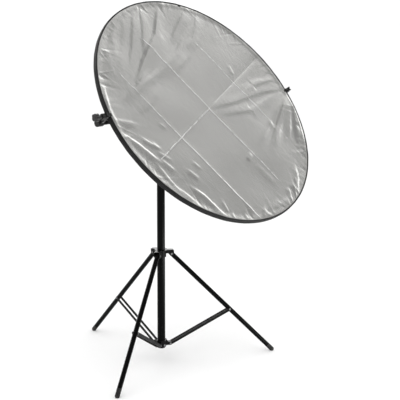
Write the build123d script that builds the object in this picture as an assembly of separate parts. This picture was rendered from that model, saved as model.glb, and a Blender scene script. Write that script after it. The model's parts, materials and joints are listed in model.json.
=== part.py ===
from build123d import *
import os
from math import asin, cos, degrees, radians, sin, sqrt

# Collapsible reflector disc on its telescoping holder arm and folding stand.
# Millimetres, +Z up. The origin is on the floor, on the axis of the column.

# --- stand ---
COLUMN_R = 17.0
COLUMN_WALL = 1.5
COLUMN_BOTTOM = 50.0
COLUMN_TOP = 800.0
LEG_AZIMUTHS = (11.6, 131.6, 251.6)
LEG_R = 10.0
LEG_WALL = 1.5
LEG_PIVOT_R = 44.0
LEG_PIVOT_Z = 464.3
LEG_SPREAD = 44.6
SLEEVE_R = 22.0
LEG_HEAD = 11.0
LEG_TUBE_END = 612.0
FOOT_BALL_AT = 642.0
BRACE_PIVOT_R = 38.9
BRACE_PIVOT_Z = 65.1
BRACE_LENGTH = 296.2
BRACE_SPREAD = 62.1
BAR_WIDTH = 12.0
BAR_THICK = 2.0
BAR_GAP = 20.6
RIVET_R = 2.5
RIVET_HEAD_R = 4.2
PIN_FIT = 0.05
SLIDE_FIT = 0.05
CAST_GAP = 0.3

MID_R = 14.5
MID_BOTTOM = 100.0
MID_TOP = 886.0
TOP_R = 12.0
TOP_BOTTOM = 140.0
TOP_TOP = 962.0
SPIGOT_R = 8.0
SPIGOT_TOP = 1000.0
BASE_LOCK_Z = (772.0, 826.0)
MID_LOCK_Z = (862.0, 914.0)

# --- holder head and arm ---
HEAD_BOTTOM = 968.0
HEAD_SHOULDER = 1004.0
TILT_AXIS_Z = 1026.0
ARM_HEIGHT = 1062.5
ARM_HEADING = 47.3
ARM_RISE = 1.3
DISC_ROLL = 37.4
ARM_R = 11.0
ARM_LEFT = -352.0
ARM_RIGHT = 320.0
ROD_R = 8.5
ROD_LEFT = 60.0
ROD_RIGHT = 812.0
STEM_R = 3.0

# --- disc, placed in the arm's frame: along the arm, across it, in front of it ---
DISC_ALONG = 231.0
DISC_ACROSS = -27.0
DISC_STANDOFF = 40.0
DISC_R = 554.0
DISC_HALF = 11.0
CLIP_PIN_OUT = 19.0
CLIP_PIN_FRONT = 4.5
CLIP_PIN_BACK = 7.0
CHEEK_R = 7.5
WEB_THICK = 2.7
JAW_THICK = 3.5
PAD_THICK = 2.2
FRONT_BITE = 6.0
BACK_BITE = 14.0
CLAMP_AXIS_Z = DISC_STANDOFF + 8
ZIP_START = 73.0
ZIP_END = 287.0
SLIDER_AT = 76.0

FLOOR_CUT = 60.0

os.makedirs("parts", exist_ok=True)


def save(name, *solids):
    """Write one node, made of one or more separate solids."""
    pieces = [solid for shape in solids for solid in shape.solids()]
    node = pieces[0] if len(pieces) == 1 else Compound(children=pieces)
    export_step(node, f"parts/{name}.step")


def rod(radius, low, high):
    """A round bar on the Z axis, from low to high."""
    return Pos(0, 0, (low + high) / 2) * Cylinder(radius, high - low)


def tube(outer, inner, low, high):
    """A round tube on the Z axis, from low to high."""
    return rod(outer, low, high) - rod(inner, low, high)


def block(x, y, z):
    """A box given by its low and high value on each axis."""
    size = [high - low for low, high in (x, y, z)]
    middle = [(low + high) / 2 for low, high in (x, y, z)]
    return Pos(*middle) * Box(*size)


def plate(profile, y):
    """A flat profile drawn in x and z, thickened from y[0] to y[1]."""
    face = Plane((0, y[1], 0), x_dir=(1, 0, 0), z_dir=(0, -1, 0)) * profile
    return extrude(face, amount=y[1] - y[0])


def both_sides(make, inner, thick):
    """Two plates, mirrored about y = 0."""
    return make((inner, inner + thick)) + make((-inner - thick, -inner))


def facing(point, direction, x_dir=(0, 0, 1)):
    """A location whose Z axis starts at point and runs along direction."""
    return Plane(point, x_dir=x_dir, z_dir=direction).location


def outward(azimuth, radius, height):
    """A location at a radius from the column, with its Z axis pointing outwards."""
    side = (cos(radians(azimuth)), sin(radians(azimuth)), 0)
    return facing((radius * side[0], radius * side[1], height), side)


def star_knob(radius, thick, lobes, hub, reach):
    """A lobed knob on +Z with its hub on z = 0 and its screw reaching down to -reach."""
    outline = Circle(radius)
    for index in range(lobes):
        outline -= Rot(0, 0, 360 * index / lobes) * Pos(radius * 1.14, 0) * Circle(radius * 0.3)
    outline = fillet(outline.vertices(), radius * 0.07)
    head = extrude(outline, amount=thick)
    head = fillet(head.edges().group_by(Axis.Z)[-1], 1.1)
    knob = Pos(0, 0, hub) * head
    knob += rod(radius * 0.5, CAST_GAP, hub)
    knob += rod(STEM_R, -reach, hub)
    knob += rod(radius * 0.34, hub + thick, hub + thick + 1.2)
    return knob


def rivet(half_span, shank_from=None):
    """A rivet on the Y axis with domed heads outside +-half_span."""
    dome = rod(RIVET_HEAD_R, 0, 1.0) + rod(RIVET_HEAD_R * 0.72, 1.0, 1.8)
    heads = [facing((0, side * half_span, 0), (0, side, 0)) * dome for side in (1, -1)]
    if shank_from is None:
        shank = facing((0, -half_span, 0), (0, 1, 0)) * rod(RIVET_R, 0, 2 * half_span)
        return [heads[0] + heads[1] + shank]
    stub = half_span - shank_from
    ends = []
    for side, head in zip((1, -1), heads):
        ends.append(head + facing((0, side * shank_from, 0), (0, side, 0)) * rod(RIVET_R, 0, stub))
    return ends


def make_column():
    save("base_tube", tube(COLUMN_R, COLUMN_R - COLUMN_WALL, COLUMN_BOTTOM, COLUMN_TOP))
    plug = rod(COLUMN_R, COLUMN_BOTTOM - 4, COLUMN_BOTTOM)
    plug = fillet(plug.edges().group_by(Axis.Z)[0], 2)
    save("column_plug", plug + rod(COLUMN_R - COLUMN_WALL, COLUMN_BOTTOM, COLUMN_BOTTOM + 14))


def make_lower_collar():
    """The fixed spider that carries the lower ends of the braces."""
    sleeve_r = 21.0
    collar = rod(sleeve_r, 52, 80)
    lug_half = BAR_GAP / 2 - 0.1
    lug = Pos(BRACE_PIVOT_R, BRACE_PIVOT_Z) * Circle(7.4)
    lug += Pos((BRACE_PIVOT_R + 16) / 2, BRACE_PIVOT_Z) * Rectangle(BRACE_PIVOT_R - 16, 14.8)
    lug -= Pos(BRACE_PIVOT_R, BRACE_PIVOT_Z) * Circle(RIVET_R + PIN_FIT)
    fin = make_face(Polyline((18, 70), (29, 71), (22, 84), (18, 80), close=True))
    for azimuth in LEG_AZIMUTHS:
        turn = Rot(0, 0, azimuth)
        collar += turn * plate(lug, (-lug_half, lug_half))
        collar += turn * both_sides(lambda y: plate(fin, y), lug_half - 2, 2)
    collar -= rod(COLUMN_R, 40, 90)
    screw_azimuth = LEG_AZIMUTHS[2] + 60
    seat = outward(screw_azimuth, sleeve_r - 1, 60)
    save("lower_collar", collar - seat * rod(2.5, -4, 2))
    head = fillet((rod(4.5, 1.0, 3.2)).edges().group_by(Axis.Z)[-1], 0.9)
    head -= Pos(0, 0, 3.0) * Box(1.2, 6.5, 1.2)
    save("collar_screw", seat * (head + rod(2.5, -3, 1)))


def make_leg_collar():
    """The sliding spider: a folded top plate with cheeks round each leg, pressed on a sleeve."""
    top = LEG_PIVOT_Z + 15.7
    cheek = Pos(LEG_PIVOT_R, LEG_PIVOT_Z) * Circle(10)
    cheek += Pos(36, top - 6.5) * Rectangle(36, 13)
    cheek -= Pos(LEG_PIVOT_R, LEG_PIVOT_Z) * Circle(RIVET_R)
    lobe = Pos(41.4, 0) * Circle(12.6) + Pos(20.7, 0) * Rectangle(41.4, 25.2)
    crown = Circle(27)
    for azimuth in LEG_AZIMUTHS:
        crown += Rot(0, 0, azimuth) * lobe
    collar = Pos(0, 0, top) * extrude(crown, amount=2)
    collar = fillet(collar.edges().group_by(Axis.Z)[-1], 0.9)
    for azimuth in LEG_AZIMUTHS:
        collar += Rot(0, 0, azimuth) * both_sides(lambda y: plate(cheek, y), 10.6, 2)
    collar -= rod(SLEEVE_R, LEG_PIVOT_Z - 20, top + 10)
    save("leg_collar", collar)
    knob_azimuth = LEG_AZIMUTHS[0] + 60
    knob_z = LEG_PIVOT_Z + 1.7
    sleeve = rod(SLEEVE_R, LEG_PIVOT_Z - 12.3, top + 2)
    sleeve += outward(knob_azimuth, 0, knob_z) * rod(7, 10, 31)
    sleeve -= rod(COLUMN_R + SLIDE_FIT, LEG_PIVOT_Z - 20, top + 10)
    sleeve -= outward(knob_azimuth, 0, knob_z) * rod(STEM_R + PIN_FIT, 0, 40)
    save("leg_collar_sleeve", sleeve)
    rivets = []
    for azimuth in LEG_AZIMUTHS:
        place = Rot(0, 0, azimuth) * Pos(LEG_PIVOT_R, 0, LEG_PIVOT_Z)
        rivets += [place * piece for piece in rivet(12.6)]
    save("leg_collar_rivets", *rivets)
    knob = star_knob(14, 9, 6, 7, 31 - COLUMN_R - CAST_GAP)
    save("leg_collar_knob", outward(knob_azimuth, 31, knob_z) * knob)


def leg_frame():
    """Z runs down the leg from its pivot and X runs along the pivot."""
    down = (sin(radians(LEG_SPREAD)), 0, -cos(radians(LEG_SPREAD)))
    return Plane((LEG_PIVOT_R, 0, LEG_PIVOT_Z), x_dir=(0, 1, 0), z_dir=down).location


def make_leg(number, azimuth):
    turn = Rot(0, 0, azimuth)
    place = turn * leg_frame()
    bore = LEG_R - LEG_WALL
    body = tube(LEG_R, bore, -LEG_HEAD, LEG_TUBE_END)
    body -= Rot(0, 90, 0) * Cylinder(RIVET_R + PIN_FIT, 3 * LEG_R)
    body += rod(bore, -LEG_HEAD, -LEG_HEAD + 3)
    save(f"leg_{number}_tube", place * body)
    foot = rod(LEG_R, LEG_TUBE_END, FOOT_BALL_AT) + Pos(0, 0, FOOT_BALL_AT) * Sphere(LEG_R)
    for ring in range(3):
        foot -= tube(LEG_R + 1, LEG_R - 0.6, LEG_TUBE_END + 6 + 7 * ring, LEG_TUBE_END + 8 + 7 * ring)
    foot += rod(bore, LEG_TUBE_END - 22, LEG_TUBE_END)
    floor = block((-900, 900), (-900, 900), (-FLOOR_CUT, 0))
    save(f"leg_{number}_foot", place * foot - floor)


def make_brace(number, azimuth):
    turn = Rot(0, 0, azimuth)
    lean = radians(BRACE_SPREAD)
    along = (sin(lean), 0, cos(lean))
    place = turn * Plane((BRACE_PIVOT_R, 0, BRACE_PIVOT_Z), x_dir=along, z_dir=(cos(lean), 0, -sin(lean))).location
    half = BAR_WIDTH / 2
    strip = Pos(BRACE_LENGTH / 2, 0) * Rectangle(BRACE_LENGTH, BAR_WIDTH)
    strip += Circle(half) + Pos(BRACE_LENGTH, 0) * Circle(half)
    bead = Pos(BRACE_LENGTH / 2, 0) * SlotOverall(BRACE_LENGTH - 60, 4)
    inner = BAR_GAP / 2
    outer = inner + BAR_THICK
    bars = both_sides(lambda y: plate(strip, y), inner, BAR_THICK)
    bars += both_sides(lambda y: plate(bead, y), outer, 0.5)
    for at in (0, BRACE_LENGTH):
        bars -= facing((at, -40, 0), (0, 1, 0)) * rod(RIVET_R, 0, 80)
    save(f"brace_{number}_bars", place * bars)
    lower = rivet(outer)
    upper = [Pos(BRACE_LENGTH, 0, 0) * piece for piece in rivet(outer, inner)]
    save(f"brace_{number}_rivets", *[place * piece for piece in lower + upper])


def make_lock(name, knob_name, z, split, lower_r, upper_r, azimuth, reach):
    """A clamp casting that caps one column section and grips the next."""
    low, high = z
    outer = lower_r + 6
    lock = rod(outer, low, high)
    lock = fillet(lock.edges().group_by(Axis.Z)[-1], 3)
    lock = fillet(lock.edges().group_by(Axis.Z)[0], 1.5)
    for ridge in range(2):
        lock += tube(outer + 1, outer - 2, low + 6 + 6 * ridge, low + 9 + 6 * ridge)
    knob_z = (split + high) / 2
    boss = outward(azimuth, 0, knob_z)
    lock += boss * rod(8, 8, reach)
    lock += block((-4, 4), (outer - 3, outer + 5), (split - 6, high - 4)).rotate(Axis.Z, azimuth + 90)
    lock -= rod(lower_r, low - 5, split)
    lock -= rod(upper_r + SLIDE_FIT, split - 5, high + 5)
    lock -= boss * rod(STEM_R + PIN_FIT, 0, reach + 10)
    save(name, lock)
    knob = star_knob(15, 11, 6, 6, reach - upper_r - CAST_GAP)
    save(knob_name, outward(azimuth, reach, knob_z) * knob)


def make_sections():
    """The two sliding column sections with their glides, locks and the top stud."""
    rear = ARM_HEADING + 90
    bore = MID_R - COLUMN_WALL
    save("mid_tube", tube(MID_R, bore, MID_BOTTOM, MID_TOP))
    save("mid_glide", tube(COLUMN_R - COLUMN_WALL - 0.1, bore, MID_BOTTOM - 18, MID_BOTTOM))
    save("top_tube", tube(TOP_R, TOP_R - COLUMN_WALL, TOP_BOTTOM, TOP_TOP))
    save("top_glide", tube(bore - 0.1, TOP_R - COLUMN_WALL, TOP_BOTTOM - 18, TOP_BOTTOM))
    make_lock("base_lock", "base_lock_knob", BASE_LOCK_Z, COLUMN_TOP, COLUMN_R, MID_R, rear, 34)
    make_lock("mid_lock", "mid_lock_knob", MID_LOCK_Z, MID_TOP, MID_R, TOP_R, rear, 31)
    stud = rod(SPIGOT_R, TOP_TOP, SPIGOT_TOP) + rod(TOP_R - COLUMN_WALL, TOP_TOP - 30, TOP_TOP)
    stud = chamfer(stud.edges().group_by(Axis.Z)[-1], 1.5)
    stud += rod(TOP_R, TOP_TOP, TOP_TOP + 4)
    save("top_spigot", stud - tube(SPIGOT_R + 2, SPIGOT_R - 1, 980, 988))


def head_frame():
    """Fixed to the panning base: X along the arm's heading, Y to the rear."""
    return Rot(0, 0, ARM_HEADING)


def boom_frame():
    """Fixed to the tilting clamp: X along the arm, Z square to it."""
    return Pos(0, 0, ARM_HEIGHT) * Rot(0, 0, ARM_HEADING) * Rot(0, -ARM_RISE, 0)


def arm_frame():
    """Fixed to the arm: X along the arm, Z along the disc's normal."""
    return boom_frame() * Rot(90 - DISC_ROLL, 0, 0)


def disc_frame():
    return arm_frame() * Pos(DISC_ALONG, DISC_ACROSS, DISC_STANDOFF)


def make_head():
    place = head_frame()
    base = rod(COLUMN_R, HEAD_BOTTOM, HEAD_SHOULDER)
    base = fillet(base.edges().group_by(Axis.Z)[-1], 3)
    base += tube(COLUMN_R + 1.2, COLUMN_R - 3, HEAD_BOTTOM, HEAD_BOTTOM + 6)
    tongue = Pos(0, TILT_AXIS_Z) * Circle(13)
    tongue += Pos(0, (TILT_AXIS_Z + HEAD_SHOULDER) / 2 - 1) * Rectangle(22, TILT_AXIS_Z - HEAD_SHOULDER + 2)
    tongue -= Pos(0, TILT_AXIS_Z) * Circle(4 + PIN_FIT)
    base += plate(tongue, (-6, 6))
    rear = facing((0, 0, 984), (0, 1, 0))
    base += rear * rod(7, 10, 24)
    base -= rod(SPIGOT_R + SLIDE_FIT, HEAD_BOTTOM - 5, SPIGOT_TOP + 1)
    base -= rear * rod(STEM_R + PIN_FIT, 0, 40)
    save("head_base", place * base)
    pan_knob = star_knob(14, 10, 6, 6, 24 - SPIGOT_R - CAST_GAP)
    save("pan_knob", place * facing((0, 24, 984), (0, 1, 0)) * pan_knob)

    boom = boom_frame()
    drop = TILT_AXIS_Z - ARM_HEIGHT
    hinge = (drop * sin(radians(ARM_RISE)), drop * cos(radians(ARM_RISE)))
    lengthwise = facing((-23, 0, 0), (1, 0, 0))
    sleeve = lengthwise * rod(18, 0, 46)
    for end in (0, 40):
        sleeve += lengthwise * rod(19.5, end, end + 6)
    cheek = Pos(*hinge) * Circle(13) + Pos(hinge[0], hinge[1] / 2 - 5) * Rectangle(26, -hinge[1] - 10)
    clamp = sleeve + both_sides(lambda y: plate(cheek, y), 6 + CAST_GAP, 7)
    rear = facing((0, 0, 0), (0, 1, 0))
    clamp += rear * rod(7, 10, 27)
    clamp -= lengthwise * rod(ARM_R + SLIDE_FIT, -5, 60)
    clamp -= rear * rod(STEM_R + PIN_FIT, 0, 40)
    clamp -= facing((hinge[0], -30, hinge[1]), (0, 1, 0)) * rod(4, 0, 60)
    save("head_clamp", boom * clamp)
    arm_knob = star_knob(14, 10, 6, 6, 27 - ARM_R - CAST_GAP)
    save("arm_lock_knob", boom * facing((0, 27, 0), (0, 1, 0)) * arm_knob)

    axle = boom * facing((hinge[0], 0, hinge[1]), (0, 1, 0))
    cheek_face = 13 + CAST_GAP
    bolt = rod(4, -cheek_face, cheek_face + 3.5)
    bolt += Pos(0, 0, -cheek_face - 2.5) * extrude(RegularPolygon(6.8, 6), amount=2.5)
    save("tilt_bolt", axle * bolt)
    tilt_knob = star_knob(15, 11, 7, 7, 0)
    tilt_knob -= rod(4 + PIN_FIT, -5, 4)
    save("tilt_knob", axle * Pos(0, 0, cheek_face) * tilt_knob)


def make_arm():
    place = arm_frame()
    lengthwise = facing((0, 0, 0), (1, 0, 0))
    bore = ARM_R - COLUMN_WALL
    save("arm_tube", place * lengthwise * tube(ARM_R, bore, ARM_LEFT, ARM_RIGHT))
    save("arm_rod", place * lengthwise * tube(ROD_R, ROD_R - COLUMN_WALL, ROD_LEFT, ROD_RIGHT))
    save("rod_glide", place * lengthwise * tube(bore - 0.1, ROD_R - COLUMN_WALL, ROD_LEFT - 14, ROD_LEFT))
    collar = lengthwise * rod(15, ARM_RIGHT - 20, ARM_RIGHT + 20)
    collar = fillet(collar.edges().filter_by(GeomType.CIRCLE), 2)
    behind = facing((ARM_RIGHT + 9, 0, 0), (0, 0, -1), x_dir=(1, 0, 0))
    collar += behind * rod(6.5, 8, 21)
    collar -= lengthwise * rod(ARM_R, ARM_RIGHT - 30, ARM_RIGHT)
    collar -= lengthwise * rod(ROD_R + SLIDE_FIT, ARM_RIGHT - 5, ARM_RIGHT + 30)
    collar -= behind * rod(STEM_R + PIN_FIT, 0, 30)
    save("arm_collar", place * collar)
    knob = star_knob(12, 9, 6, 5, 21 - ROD_R - CAST_GAP)
    save("arm_collar_knob", place * behind * Pos(0, 0, 21) * knob)


def make_clip(side, rim_x, sleeve_x, tube_r, cheek_in, cheek_thick):
    """The post on one end of the arm and its two jaws, which pinch the disc's rim."""
    place = arm_frame()
    outward_sign = -1 if side == "left" else 1
    pin_x = rim_x + outward_sign * CLIP_PIN_OUT
    front_z = DISC_STANDOFF + DISC_HALF + CLIP_PIN_FRONT
    back_z = DISC_STANDOFF - DISC_HALF - CLIP_PIN_BACK
    half = cheek_in + cheek_thick
    low_x, high_x = sorted(sleeve_x)
    post = facing((low_x, 0, 0), (1, 0, 0)) * rod(tube_r + 4, 0, high_x - low_x)
    cheek = Pos(pin_x, front_z) * Circle(CHEEK_R) + Pos(pin_x, front_z / 2) * Rectangle(2 * CHEEK_R, front_z)
    for z in (front_z, back_z):
        cheek -= Pos(pin_x, z) * Circle(2)
    post += both_sides(lambda y: plate(cheek, y), cheek_in, cheek_thick)
    outer_x = pin_x + outward_sign * CHEEK_R
    web_x = sorted((outer_x, outer_x - outward_sign * WEB_THICK))
    post += block(web_x, (-half, half), (0, front_z))
    if side == "left":
        nut_x = sorted((outer_x, outer_x - 16))
        nut = block(nut_x, (-half, half), (CLAMP_AXIS_Z - 11, CLAMP_AXIS_Z + 11))
        post += fillet(nut.edges().filter_by(Axis.X), 5)
        post -= facing((outer_x + 10, 0, CLAMP_AXIS_Z), (-1, 0, 0)) * rod(STEM_R + PIN_FIT, 0, 40)
    tube_end = ARM_LEFT if side == "left" else ROD_RIGHT
    tube_x = sorted((tube_end, tube_end - outward_sign * 60))
    post -= facing((tube_x[0], 0, 0), (1, 0, 0)) * rod(tube_r, 0, tube_x[1] - tube_x[0])
    save(f"{side}_post", place * post)
    pins = []
    for z in (front_z, back_z):
        pin = facing((pin_x, -half - 1.5, z), (0, 1, 0)) * rod(2, 0, 2 * half + 3)
        for y in (-half - 1.5, half):
            pin += facing((pin_x, y, z), (0, 1, 0)) * rod(3.4, 0, 1.5)
        pins.append(pin)
    save(f"{side}_pins", *[place * pin for pin in pins])
    grip = cheek_in - CAST_GAP
    for name, pin_z, pin_gap, facing_disc, bite in (
        ("front", front_z, CLIP_PIN_FRONT, -1, FRONT_BITE),
        ("back", back_z, CLIP_PIN_BACK, 1, BACK_BITE),
    ):
        tip_x = rim_x - outward_sign * bite
        near = pin_z + facing_disc * (pin_gap - PAD_THICK - CAST_GAP)
        far = near - facing_disc * JAW_THICK
        span_z = sorted((near, far))
        arm = block(sorted((pin_x, tip_x)), (-grip, grip), span_z)
        arm = fillet(arm.edges().filter_by(Axis.Z), 2.5)
        jaw = arm + facing((pin_x, -grip, pin_z), (0, 1, 0)) * rod(4.5, 0, 2 * grip)
        jaw -= facing((pin_x, -grip - 1, pin_z), (0, 1, 0)) * rod(2 + PIN_FIT, 0, 2 * grip + 2)
        pad_z = sorted((near, near + facing_disc * PAD_THICK))
        jaw += block(sorted((tip_x + outward_sign, rim_x - outward_sign)), (-grip + 1, grip - 1), pad_z)
        save(f"{side}_{name}_jaw", place * jaw)


def make_clips():
    reach = sqrt(DISC_R ** 2 - DISC_ACROSS ** 2)
    left_x = DISC_ALONG - reach
    right_x = DISC_ALONG + reach
    make_clip("left", left_x, (ARM_LEFT - 3, ARM_LEFT + 24), ARM_R, 7.0, 3.5)
    make_clip("right", right_x, (ROD_RIGHT - 24, ROD_RIGHT + 3), ROD_R, 5.0, 2.5)
    knob_x = left_x - CLIP_PIN_OUT - CHEEK_R - 16
    knob = star_knob(16.5, 16, 5, 19, 20)
    save("left_clamp_knob", arm_frame() * facing((knob_x, 0, CLAMP_AXIS_Z), (-1, 0, 0)) * knob)


def rim_arc(inner, outer, low, high, start, stop):
    """A sector of a flat ring round the disc's axis, between two angles in degrees."""
    section = Pos((inner + outer) / 2, (low + high) / 2) * Rectangle(outer - inner, high - low)
    face = Plane.XZ * section
    return Rot(0, 0, start) * revolve(face, Axis.Z, stop - start)


def make_disc():
    place = disc_frame()
    hoop_r = DISC_R - 5
    save("spring_hoop", place * tube(hoop_r + 0.6, hoop_r - 0.6, -6, 6))
    save("diffuser_panel", place * rod(hoop_r - 2.5, -0.4, 0.4))
    sleeve = tube(hoop_r + 2.2, hoop_r - 2.2, -7.5, 7.5) - tube(hoop_r + 0.9, hoop_r - 0.9, -6.3, 6.3)
    save("diffuser_sleeve", place * sleeve)
    save("silver_cover", place * rod(DISC_R - 2, DISC_HALF - 2, DISC_HALF - 1))
    save("back_cover", place * rod(DISC_R - 2, -DISC_HALF + 1, -DISC_HALF + 2))
    band = tube(DISC_R, DISC_R - 3.8, -DISC_HALF, DISC_HALF)
    band -= tube(DISC_R - 1.6, DISC_R - 5, -DISC_HALF + 0.9, DISC_HALF - 0.9)
    save("edge_binding", place * band)
    save("zip_chain", place * rim_arc(DISC_R, DISC_R + 1.2, -3, 3, ZIP_START, ZIP_END))
    tab_angle = degrees(asin(7.5 / DISC_R))
    tab = rim_arc(DISC_R - 13, DISC_R - 3.8, DISC_HALF - 1, DISC_HALF + 0.6, ZIP_START - tab_angle, ZIP_START + tab_angle)
    save("zip_end_tab", place * tab)
    at = place * Rot(0, 0, SLIDER_AT)
    slider = block((DISC_R + 1.5, DISC_R + 4.5), (-8, 8), (-5, 5))
    slider = fillet(slider.edges().filter_by(Axis.X), 2.5)
    post = block((DISC_R + 4.5, DISC_R + 7.5), (-3, 3), (-1.2, 1.2))
    slider += post - Pos(DISC_R + 6, 0, 0) * Cylinder(0.85, 10)
    save("zip_slider", at * slider)
    wire = Pos(DISC_R + 6, 0, 0) * Cylinder(0.8, 6)
    tab = block((DISC_R + 5.4, DISC_R + 6.6), (-24, -4), (-4, 4))
    tab = fillet(tab.edges().filter_by(Axis.X), 2)
    for side in (-1, 1):
        tab += block((DISC_R + 5.4, DISC_R + 6.6), (-5, 0.6), sorted((side * 1.6, side * 3)))
    save("zip_pull", at * (tab + wire))


make_column()
make_lower_collar()
make_leg_collar()
for leg_number, leg_azimuth in enumerate(LEG_AZIMUTHS, start=1):
    make_leg(leg_number, leg_azimuth)
    make_brace(leg_number, leg_azimuth)
make_sections()
make_head()
make_arm()
make_clips()
make_disc()
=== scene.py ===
"""Looks for the collapsible reflector disc on its holder arm and stand.

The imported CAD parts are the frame. Metal and moulded parts keep their CAD shape and get their
finish here. Every sheet of fabric, the edge binding, the zip and the sewn tab are built here as
detailed pieces. Lengths are metres, except in the fold tables, which are millimetres in the plane
of the disc.
"""

import json
import math

import bpy
import numpy as np
from mathutils import Matrix, Vector


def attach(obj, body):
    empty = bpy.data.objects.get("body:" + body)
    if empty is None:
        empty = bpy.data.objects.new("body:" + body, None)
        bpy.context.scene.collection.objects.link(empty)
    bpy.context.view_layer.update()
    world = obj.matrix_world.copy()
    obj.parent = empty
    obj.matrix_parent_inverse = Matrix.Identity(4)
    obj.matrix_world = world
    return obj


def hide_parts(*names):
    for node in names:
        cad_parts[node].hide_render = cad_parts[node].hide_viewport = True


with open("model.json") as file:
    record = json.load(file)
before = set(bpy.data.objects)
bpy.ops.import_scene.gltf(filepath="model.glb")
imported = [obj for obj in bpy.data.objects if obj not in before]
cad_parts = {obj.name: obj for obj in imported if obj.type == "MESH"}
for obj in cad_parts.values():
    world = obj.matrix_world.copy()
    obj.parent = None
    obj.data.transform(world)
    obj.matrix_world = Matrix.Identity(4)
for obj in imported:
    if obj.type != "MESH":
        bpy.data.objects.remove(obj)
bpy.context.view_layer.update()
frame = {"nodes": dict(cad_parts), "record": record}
NODES = frame["nodes"]
MM = 0.001
SEED = 7

# -------------------- the disc's own frame, read from the CAD


def node_points(name):
    return np.array([v.co for v in NODES[name].data.vertices], float)


def principal_axes(points):
    return np.linalg.svd(points - points.mean(0), full_matrices=False)[2]


def unit(vector):
    return vector / np.linalg.norm(vector)


NORMAL = principal_axes(node_points("silver_cover"))[2]
NORMAL = NORMAL * np.sign(NORMAL[2])
ALONG = principal_axes(node_points("arm_tube"))[0]
ALONG = ALONG * np.sign(ALONG[0])
ALONG = unit(ALONG - (ALONG @ NORMAL) * NORMAL)
ACROSS = np.cross(NORMAL, ALONG)
AXES = np.stack([ALONG, ACROSS, NORMAL])


def in_disc_axes(name):
    """Lowest and highest corner of a CAD node along the disc's three axes."""
    flat = node_points(name) @ AXES.T
    return flat.min(0), flat.max(0)


front_low, front_high = in_disc_axes("silver_cover")
back_low, back_high = in_disc_axes("back_cover")
CENTRE = ((front_low + front_high + back_low + back_high) / 4) @ AXES
COVER_R = (front_high[0] - front_low[0]) / 2
binding_low, binding_high = in_disc_axes("edge_binding")
RIM_R = (binding_high[0] - binding_low[0]) / 2
HALF_DEPTH = (binding_high[2] - binding_low[2]) / 2


def place(local):
    """Points given along the disc's axes, as points in the row frame."""
    return CENTRE + np.asarray(local, float) @ AXES


def ring_points(radius, angle, height):
    """Points at a radius, an angle in radians and a height above the disc's middle plane."""
    radius, angle, height = np.broadcast_arrays(radius, angle, height)
    local = np.stack([radius * np.cos(angle), radius * np.sin(angle), height], axis=-1)
    return place(local.reshape(-1, 3))


# -------------------- mesh helpers


def mesh_object(name, points, faces, smooth=True):
    mesh = bpy.data.meshes.new(name)
    mesh.from_pydata([tuple(p) for p in points], [], [tuple(int(i) for i in f) for f in faces])
    mesh.update()
    mesh.polygons.foreach_set("use_smooth", [smooth] * len(mesh.polygons))
    made = bpy.data.objects.new(name, mesh)
    bpy.context.scene.collection.objects.link(made)
    return made


def grid_faces(rows, columns, wrap_rows=False, wrap_columns=False):
    """Quads over a grid of points, joined round where a direction wraps."""
    across = np.arange(rows if wrap_rows else rows - 1)
    down = np.arange(columns if wrap_columns else columns - 1)
    r, c = np.meshgrid(across, down, indexing="ij")
    r2, c2 = (r + 1) % rows, (c + 1) % columns
    quads = [r * columns + c, r2 * columns + c, r2 * columns + c2, r * columns + c2]
    return np.stack([q.ravel() for q in quads], axis=1)


def set_uv(made, uv_of_vertex):
    layer = made.data.uv_layers.new(name="UVMap")
    corner = np.zeros(len(made.data.loops), np.int32)
    made.data.loops.foreach_get("vertex_index", corner)
    layer.data.foreach_set("uv", np.asarray(uv_of_vertex, np.float32)[corner].ravel())


def smooth_noise(angle, seed, waves, lowest, highest):
    """A smooth closed random curve round the rim, about 1 high."""
    random = np.random.default_rng(seed)
    total = np.zeros_like(angle)
    for _ in range(waves):
        total += np.sin(random.integers(lowest, highest) * angle + random.uniform(0, 2 * math.pi))
    return total / math.sqrt(waves)


# -------------------- the folds of the fabric, in millimetres

# The direction in the plane of the disc towards which a tilted facet catches the bright backdrop.
TOWARDS_LIGHT = np.array([0.97, 0.24])

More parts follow.
